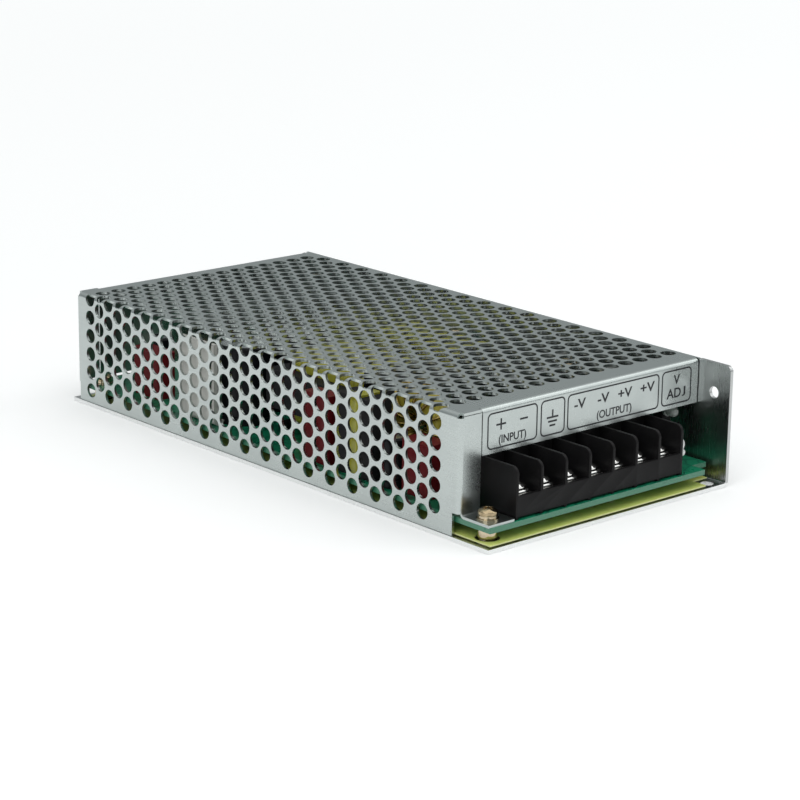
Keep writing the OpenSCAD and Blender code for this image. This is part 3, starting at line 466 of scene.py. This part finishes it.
def lens_finish():
    """Clear tinted lens of the indicator lamp."""
    material, tree, shader = new_finish("lamp_lens", Transmission_Weight=0.7, IOR=1.5)
    cloud = noise(tree, object_place(tree), 500.0, 2.0)
    base = mixed(tree, cloud, colour(0.80, 0.88, 0.82), colour(0.93, 0.96, 0.93))
    join_surface(tree, shader, base, spread(tree, cloud, 0.3, 0.7, 0.02, 0.06), cloud, 0.01 * MM, 0.1)
    return material


def ink_finish():
    """Dark screen-printed ink, slightly uneven."""
    material, tree, shader = new_finish("printed_ink")
    cloud = noise(tree, object_place(tree), 1800.0, 3.0)
    base = mixed(tree, cloud, colour(0.008, 0.009, 0.011), colour(0.028, 0.029, 0.033))
    join_surface(tree, shader, base, spread(tree, cloud, 0.3, 0.7, 0.45, 0.65), cloud, 0.01 * MM)
    return material


def red_dip_finish():
    """Dipped epoxy with an orange-peel skin."""
    material, tree, shader = new_finish("red_dipped_epoxy", Coat_Weight=0.05, Coat_Roughness=0.2,
                                        Specular_IOR_Level=0.12)
    peel = noise(tree, object_place(tree), 700.0, 2.0)
    cloud = noise(tree, object_place(tree), 130.0, 3.0)
    base = mixed(tree, cloud, colour(0.12, 0.006, 0.009), colour(0.20, 0.014, 0.018))
    join_surface(tree, shader, base, spread(tree, cloud, 0.3, 0.7, 0.35, 0.5), peel, 0.06 * MM)
    return material


slot_finishes = {
    "bright_sheet": sheet_finish(
        "bright_rolled_aluminium", colour(0.58, 0.59, 0.585), colour(0.44, 0.45, 0.45),
        # base's sheared edge painted pale, a painted reflection of the white floor
        0.24, 0.31, (0.02, 1.0, 0.02), 60.0, sheared_edge_painted_reflection=colour(0.86, 0.87, 0.865)),
    "zinc_sheet": sheet_finish(
        "satin_zinc_sheet", colour(0.56, 0.605, 0.59), colour(0.45, 0.49, 0.48),
        0.22, 0.36, (1.0, 0.02, 1.0), 160.0),
    "nickel": metal_finish(
        "warm_nickel_plate", colour(0.66, 0.56, 0.41), colour(0.34, 0.27, 0.17), 0.05, 0.16),
    "tin": metal_finish("tin_plate", colour(0.82, 0.81, 0.78), colour(0.62, 0.61, 0.58), 0.16, 0.34),
    "sheet_film": film_finish(),
    "board_green": board_finish(),
    "black_moulding": moulded_finish(
        "black_moulding", colour(0.003, 0.003, 0.003), colour(0.011, 0.010, 0.011),
        0.36, 0.52, Specular_IOR_Level=0.15),
    "ferrite": moulded_finish(
        "ferrite", colour(0.010, 0.010, 0.011), colour(0.028, 0.028, 0.030),
        0.5, 0.75, Specular_IOR_Level=0.2),
    "yellow_core": moulded_finish(
        "yellow_core_paint", colour(0.50, 0.42, 0.04), colour(0.62, 0.54, 0.10), 0.35, 0.55, grain=900.0),
    "copper": metal_finish(
        "enamelled_wire", colour(0.46, 0.35, 0.10), colour(0.28, 0.19, 0.05),
        0.2, 0.34, Coat_Weight=0.3, Coat_Roughness=0.15),
    "red_epoxy": red_dip_finish(),
    "heat_sheet": moulded_finish(
        "pale_heat_plate", colour(0.62, 0.61, 0.57), colour(0.74, 0.73, 0.69), 0.45, 0.6, grain=1200.0),
    "pad_grey": moulded_finish(
        "soft_grey_pad", colour(0.36, 0.37, 0.37), colour(0.46, 0.47, 0.46), 0.6, 0.8),
    "trimmer_green": moulded_finish(
        "green_trimmer_moulding", colour(0.012, 0.20, 0.09), colour(0.04, 0.34, 0.17), 0.3, 0.45),
    "lens": lens_finish(),
    "fuse_glass": part_metal_finish(
        "ceramic_fuse", colour(0.66, 0.65, 0.6), colour(0.78, 0.77, 0.72), fuse_caps()),
    "clip_brass": metal_finish(
        "spring_brass", colour(0.72, 0.55, 0.22), colour(0.48, 0.33, 0.12), 0.18, 0.35),
    "white_package": part_metal_finish(
        "white_package", colour(0.66, 0.65, 0.6), colour(0.76, 0.75, 0.7), pin_metal("optocouplers", 2)),
    "resistor_tan": part_metal_finish(
        "tan_lacquer", colour(0.48, 0.33, 0.18), colour(0.6, 0.44, 0.27), resistor_leads(), 0.25, 0.4),
}
device_black, device_grey = colour(0.014, 0.014, 0.015), colour(0.04, 0.04, 0.042)
node_finishes = {
    "transformer_winding": tape_finish("yellow_tape", (0.0, 1.0, 0.0), 160.0),
    "output_choke_winding": tape_finish("yellow_tape_choke", (0.0, 1.0, 0.0), 160.0),
    "drive_transformer_winding": tape_finish("yellow_tape_small", (0.0, 0.0, 1.0), 90.0),
    "power_transistors": part_metal_finish(
        "black_device_transistor", device_black, device_grey, device_metal("power_transistors")),
    "rectifiers": part_metal_finish(
        "black_device_rectifier", device_black, device_grey, device_metal("rectifiers")),
    "control_chip": part_metal_finish("black_chip", device_black, device_grey, pin_metal("control_chip", 1)),
    "board_screws": metal_finish(
        "dark_gold_screws", colour(0.54, 0.43, 0.27), colour(0.17, 0.125, 0.07), 0.04, 0.14),
}
for cans in ("input_capacitors", "output_capacitors", "small_capacitors"):
    node_finishes[cans] = can_finish(cans)
terminal_nickel = metal_finish(
    "bright_terminal_nickel", colour(0.88, 0.88, 0.86), colour(0.64, 0.63, 0.60), 0.08, 0.2)
for way in WAYS:
    node_finishes[f"wire_clamp_{way}"] = terminal_nickel
    node_finishes[f"terminal_screw_{way}"] = terminal_nickel
node_slots = {part["node"]: part["material_slot"] for part in frame["record"]["subparts"]}
printed_ink = ink_finish()
silicone_white = moulded_finish(
    "white_silicone", colour(0.60, 0.61, 0.60), colour(0.74, 0.75, 0.74), 0.3, 0.5, grain=800.0)


def dress(piece, material):
    piece.data.materials.clear()
    piece.data.materials.append(material)


def finish_of(node):
    return node_finishes.get(node) or slot_finishes[node_slots[node]]


def dress_nodes():
    """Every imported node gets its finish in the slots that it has."""
    for name, piece in nodes.items():
        for slot in piece.material_slots:
            slot.material = finish_of(name)


# Modelling by hand: one piece at a time, everything else deselected

def start_piece():
    bpy.ops.object.select_all(action="DESELECT")


def work_on(piece):
    start_piece()
    piece.select_set(True)
    bpy.context.view_layer.objects.active = piece


def edit_mode(wanted):
    bpy.ops.object.mode_set(mode="EDIT" if wanted else "OBJECT")


def settle(piece, name, body, material):
    """Name, finish and body of a finished piece, its place in its mesh."""
    work_on(piece)
    bpy.ops.object.transform_apply(location=True, rotation=True, scale=True)
    piece.name = name
    piece.data.name = name
    dress(piece, material)
    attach(piece, body)
    return piece


def thicken(piece, thickness):
    """Closed body behind a flat outline."""
    work_on(piece)
    wall = piece.modifiers.new("wall", "SOLIDIFY")
    wall.thickness = thickness
    wall.offset = -1.0
    bpy.ops.object.modifier_apply(modifier=wall.name)


def flange_plane(left, right, bottom, top):
    """Flat patch on the flange's face, as large as given."""
    start_piece()
    bpy.ops.mesh.primitive_plane_add(
        size=1, location=((left + right) / 2, FLANGE_FACE - INK_PROUD, (bottom + top) / 2),
        rotation=(math.pi / 2, 0, 0))
    patch = bpy.context.object
    patch.scale = (right - left, top - bottom, 1)
    bpy.ops.object.transform_apply(location=True, rotation=True, scale=True)
    return patch


def label_outline(name, left, right):
    """Printed outline with round corners around one group of terminals."""
    patch = flange_plane(left, right, OUTLINE_BOTTOM, OUTLINE_TOP)
    edit_mode(True)
    bpy.ops.mesh.select_all(action="SELECT")
    bpy.ops.mesh.bevel(offset=OUTLINE_CORNER, affect="VERTICES", segments=6)
    bpy.ops.mesh.select_all(action="SELECT")
    bpy.ops.mesh.inset(thickness=OUTLINE_W)
    bpy.ops.mesh.delete(type="FACE")
    edit_mode(False)
    thicken(patch, INK_DEPTH)
    return settle(patch, name, "case", printed_ink)


def stretch_arm(patch, direction, length):
    """Arm pulled out of the patch's edge that lies furthest along a direction, nearest its middle."""
    work_on(patch)
    edit_mode(True)
    bpy.ops.mesh.select_mode(type="EDGE")
    bpy.ops.mesh.select_all(action="DESELECT")
    edit_mode(False)
    points = patch.data.vertices

    def reach(edge):
        first, second = (points[index].co for index in edge.vertices)
        return round(((first + second) / 2).dot(direction), 6), -(first + second - 2 * points[0].co).length
    chosen = max(patch.data.edges, key=reach)
    chosen.select = True
    for index in chosen.vertices:
        points[index].select = True
    edit_mode(True)
    bpy.ops.mesh.extrude_edges_move(TRANSFORM_OT_translate={"value": direction * length})
    edit_mode(False)


def crossed_bars(middle, height, side, up, down):
    """Sign that starts as a small square and grows an arm to each side, and up and down where given."""
    half = SIGN_LINE / 2
    patch = flange_plane(middle - half, middle + half, height - half, height + half)
    arms = [((1, 0, 0), side), ((-1, 0, 0), side), ((0, 0, 1), up), ((0, 0, -1), down)]
    for direction, length in arms:
        if length:
            stretch_arm(patch, Vector(direction), length - half)
    return patch


def printed_sign(name, patches):
    """One inked piece of all its flat patches."""
    for patch in patches:
        thicken(patch, INK_DEPTH)
    work_on(patches[0])
    for patch in patches[1:]:
        patch.select_set(True)
    if len(patches) > 1:
        bpy.ops.object.join()
    return settle(patches[0], name, "case", printed_ink)


def printed_signs():
    """Plus and minus of the input, and the protective-earth sign: a stem on three bars that get shorter."""
    for name, bars in SIGNS.items():
        printed_sign(name, [crossed_bars(*(size * MM for size in bar)) for bar in bars])


def lettering(name, words, middle, base, height, width):
    """Printed words on the flange: height and width are those of the whole line."""
    start_piece()
    bpy.ops.object.text_add(location=(0, 0, 0))
    text = bpy.context.object
    text.data.body = words
    text.data.extrude = 0.01
    text.data.offset = INK_SPREAD
    text.data.resolution_u = 5
    bpy.ops.object.convert(target="MESH")
    text = bpy.context.object
    edit_mode(True)
    bpy.ops.mesh.select_all(action="SELECT")
    bpy.ops.mesh.remove_doubles(threshold=1e-5)
    bpy.ops.mesh.normals_make_consistent(inside=False)
    edit_mode(False)
    low, high = corners_of(text.bound_box)
    grow = Vector((width / (high.x - low.x), height / (high.y - low.y), INK_DEPTH / (high.z - low.z)))
    text.scale = grow
    text.rotation_euler = (math.pi / 2, 0, 0)
    text.location = (middle - (low.x + high.x) / 2 * grow.x,
                     FLANGE_FACE - INK_PROUD + INK_DEPTH + low.z * grow.z,
                     base - low.y * grow.y)
    return settle(text, name, "case", printed_ink)


def flange_markings():
    for name, (left, right) in OUTLINES.items():
        label_outline(name, left * MM, right * MM)
    printed_signs()
    for name, (words, *sizes) in WORDS.items():
        lettering(name, words, *(size * MM for size in sizes))


def corners_of(places):
    """Lowest and highest corner of a set of points."""
    places = [Vector(at) for at in places]
    return (Vector(min(at[axis] for at in places) for axis in range(3)),
            Vector(max(at[axis] for at in places) for axis in range(3)))


def lean_sides(piece):
    """Stamped sides of a wire clamp: its upper outline drawn in, its screw hole left as it is."""
    low, high = corners_of(point.co for point in piece.data.vertices)
    middle = Vector(((low.x + high.x) / 2, (low.y + high.y) / 2, high.z))
    half = (high.x - low.x) / 2
    edit_mode(True)
    bpy.ops.mesh.select_mode(type="VERT")
    bpy.ops.mesh.select_all(action="DESELECT")
    edit_mode(False)
    for point in piece.data.vertices:
        out = point.co - middle
        point.select = abs(out.z) < LEVEL_WITHIN and max(abs(out.x), abs(out.y)) > half - CLAMP_RIM
    edit_mode(True)
    drawn_in = 1 - CLAMP_LEAN / half
    bpy.ops.transform.resize(value=(drawn_in, drawn_in, 1), center_override=middle)
    edit_mode(False)


def softened(node, name, edge, body, shape=None):
    """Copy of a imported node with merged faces, shaped and with rounded edges, in place of the node."""
    source = nodes[node]
    piece = source.copy()
    piece.data = source.data.copy()
    bpy.context.scene.collection.objects.link(piece)
    piece.parent = None
    for key in list(piece.keys()):
        del piece[key]
    work_on(piece)
    bpy.ops.mesh.customdata_custom_splitnormals_clear()
    edit_mode(True)
    bpy.ops.mesh.select_all(action="SELECT")
    bpy.ops.mesh.remove_doubles(threshold=1e-6)
    bpy.ops.mesh.dissolve_limited(angle_limit=math.radians(1.0))
    edit_mode(False)
    if shape:
        shape(piece)
    round_edges = piece.modifiers.new("round_edges", "BEVEL")
    round_edges.width = edge
    round_edges.segments = EDGE_STEPS
    round_edges.limit_method = "ANGLE"
    round_edges.angle_limit = EDGE_ANGLE
    bpy.ops.object.modifier_apply(modifier=round_edges.name)
    bpy.ops.object.shade_smooth_by_angle(angle=EDGE_ANGLE)
    settle(piece, name, body, finish_of(node))
    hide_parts(node)
    return piece


def soft_edged_pieces():
    for node, (name, edge) in ROUNDED.items():
        softened(node, name, edge, "case")
    for way in WAYS:
        clamp, screw = f"wire_clamp_{way}", f"terminal_screw_{way}"
        softened(clamp, f"{clamp}_rounded", CLAMP_EDGE, f"clamp_{way}", lean_sides)
        softened(screw, f"{screw}_rounded", TERMINAL_SCREW_EDGE, f"screw_{way}")


def silicone_bead():
    """Two-lobed bead of white silicone on the terminal block's right end, near its front edge."""
    low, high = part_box("terminal_block")
    pieces = []
    for half_size, height in BEAD_LOBES:
        start_piece()
        bpy.ops.mesh.primitive_uv_sphere_add(segments=20, ring_count=12, radius=1)
        lobe = bpy.context.object
        edit_mode(True)
        bpy.ops.mesh.select_all(action="SELECT")
        bpy.ops.transform.resize(value=Vector(half_size) * MM)
        bpy.ops.mesh.bisect(plane_co=(0, 0, 0), plane_no=(1, 0, 0), clear_inner=True, use_fill=True)
        bpy.ops.mesh.select_all(action="SELECT")
        bpy.ops.transform.translate(value=(high.x, low.y + BEAD_FROM_FRONT, low.z + height * MM))
        edit_mode(False)
        pieces.append(lobe)
    bead = pieces[0]
    work_on(bead)
    pieces[1].select_set(True)
    bpy.ops.object.join()
    merge = bead.modifiers.new("one_skin", "REMESH")
    merge.mode = "VOXEL"
    merge.voxel_size = BEAD_GRID
    bpy.ops.object.modifier_apply(modifier=merge.name)
    even = bead.modifiers.new("even_skin", "SMOOTH")
    even.iterations = BEAD_SMOOTHING
    bpy.ops.object.modifier_apply(modifier=even.name)
    bpy.ops.object.shade_smooth()
    return settle(bead, "silicone_bead", "case", silicone_white)


# Stage, light and camera

# Side of the square floor, and how far it lies under the object
FLOOR_SIDE = 14
FLOOR_DROP = 0.1 * MM
# Glow that lifts the floor to white: little near the object, where its shadow lies, and more far away
WHITE_NEAR = 0.16
WHITE_FAR = 0.60
NEAR_FLOOR = 0.25
FAR_FLOOR = 2.5
# Glow of the floor in metal or glass
WHITE_MIRRORED = 0.14
# Room: its colour towards the horizon and overhead, and the heights between which it changes
HORIZON = colour(0.265, 0.29, 0.295)
ZENITH = colour(0.68, 0.70, 0.70)
HORIZON_TO, ZENITH_FROM = 0.15, 0.85
# Lamps: place and side in metres, power in watts
SOFTBOXES = {"overhead_softbox": ((-0.15, -0.2, 1.2), 1.4, 5),
             "left_softbox": ((-1.1, -0.5, 0.7), 0.9, 3.5),
             "right_softbox": ((0.77, -0.32, 0.86), 0.6, 1.3),
             "front_softbox": ((0.83, -0.85, 0.50), 0.5, 0.8)}
# Camera of the photograph: turn, lift and roll, place in metres, and focal length as a share of the frame
PHOTO_ANGLES = [math.radians(angle) for angle in (-41.5517, 15.7968, 0.8066)]
PHOTO_EYE = (-0.51587, -0.58893, 0.23498)
PHOTO_FOCAL = 2605.89 / 800
SENSOR_W = 36


def studio_floor():
    """Plain white floor that keeps the object's shadow and shows white in the metal too."""
    start_piece()
    bpy.ops.mesh.primitive_plane_add(size=FLOOR_SIDE, location=(0, 0, -FLOOR_DROP))
    floor = bpy.context.object
    floor.name = "studio_floor"
    material = bpy.data.materials.new("white_floor")
    material.use_nodes = True
    tree = material.node_tree
    tree.nodes.remove(tree.nodes["Principled BSDF"])
    diffuse = place(tree, "ShaderNodeBsdfDiffuse", {"Color": colour(0.92, 0.92, 0.92)})
    seen = place(tree, "ShaderNodeLightPath").outputs
    away = place(tree, "ShaderNodeVectorMath", {0: object_place(tree)}, operation="LENGTH")
    lift = spread(tree, away.outputs["Value"], NEAR_FLOOR, FAR_FLOOR, WHITE_NEAR, WHITE_FAR)
    direct = maths(tree, "MULTIPLY", seen["Is Camera Ray"], lift)
    mirrored = maths(tree, "MAXIMUM", seen["Is Glossy Ray"], seen["Is Transmission Ray"])
    white = maths(tree, "MULTIPLY_ADD", mirrored, WHITE_MIRRORED, direct)
    glow = place(tree, "ShaderNodeEmission", {"Strength": white})
    both = place(tree, "ShaderNodeAddShader", {0: diffuse.outputs[0], 1: glow.outputs[0]})
    tree.links.new(both.outputs[0], tree.nodes["Material Output"].inputs["Surface"])
    dress(floor, material)


def studio_world():
    """Soft room: brighter overhead, dimmer towards the horizon, and white where it is seen straight."""
    world = bpy.data.worlds.new("soft_room")
    bpy.context.scene.world = world
    world.use_nodes = True
    tree = world.node_tree
    direction = place(tree, "ShaderNodeTexCoord").outputs["Generated"]
    height = place(tree, "ShaderNodeSeparateXYZ", {0: direction}).outputs["Z"]
    shade = mixed(tree, spread(tree, height, HORIZON_TO, ZENITH_FROM), HORIZON, ZENITH)
    straight = place(tree, "ShaderNodeLightPath").outputs["Is Camera Ray"]
    seen = mixed(tree, straight, shade, colour(1.0, 1.0, 1.0))
    tree.links.new(seen, tree.nodes["Background"].inputs["Color"])


def studio_lamps():
    """Square softboxes turned towards the object."""
    for name, (stands_at, side, watts) in SOFTBOXES.items():
        start_piece()
        bpy.ops.object.light_add(type="AREA", location=stands_at)
        lamp = bpy.context.object
        lamp.name = name
        lamp.data.shape = "SQUARE"
        lamp.data.size = side
        lamp.data.energy = watts
        lamp.rotation_euler = (-Vector(stands_at)).to_track_quat("-Z", "Y").to_euler()


def photo_camera():
    """Camera at the photograph's angle; the photograph is square."""
    turn, lift, roll = PHOTO_ANGLES
    back = Vector((math.sin(turn) * math.cos(lift), -math.cos(turn) * math.cos(lift), math.sin(lift)))
    right = Vector((math.cos(turn), math.sin(turn), 0))
    up = back.cross(right)
    rolled_right = right * math.cos(roll) + up * math.sin(roll)
    rolled_up = up * math.cos(roll) - right * math.sin(roll)
    turned = Matrix((rolled_right, rolled_up, back)).transposed().to_4x4()
    bpy.ops.object.camera_add()
    camera = bpy.context.object
    camera.name = "photo_camera"
    camera.matrix_world = Matrix.Translation(PHOTO_EYE) @ turned
    camera.data.sensor_width = SENSOR_W
    camera.data.lens = SENSOR_W * PHOTO_FOCAL
    camera.data.clip_start = 0.01
    bpy.context.scene.camera = camera


photo_camera()
studio_floor()
studio_world()
studio_lamps()
dress_nodes()
flange_markings()
soft_edged_pieces()
silicone_bead()

bpy.context.scene.view_settings.view_transform = "Standard"
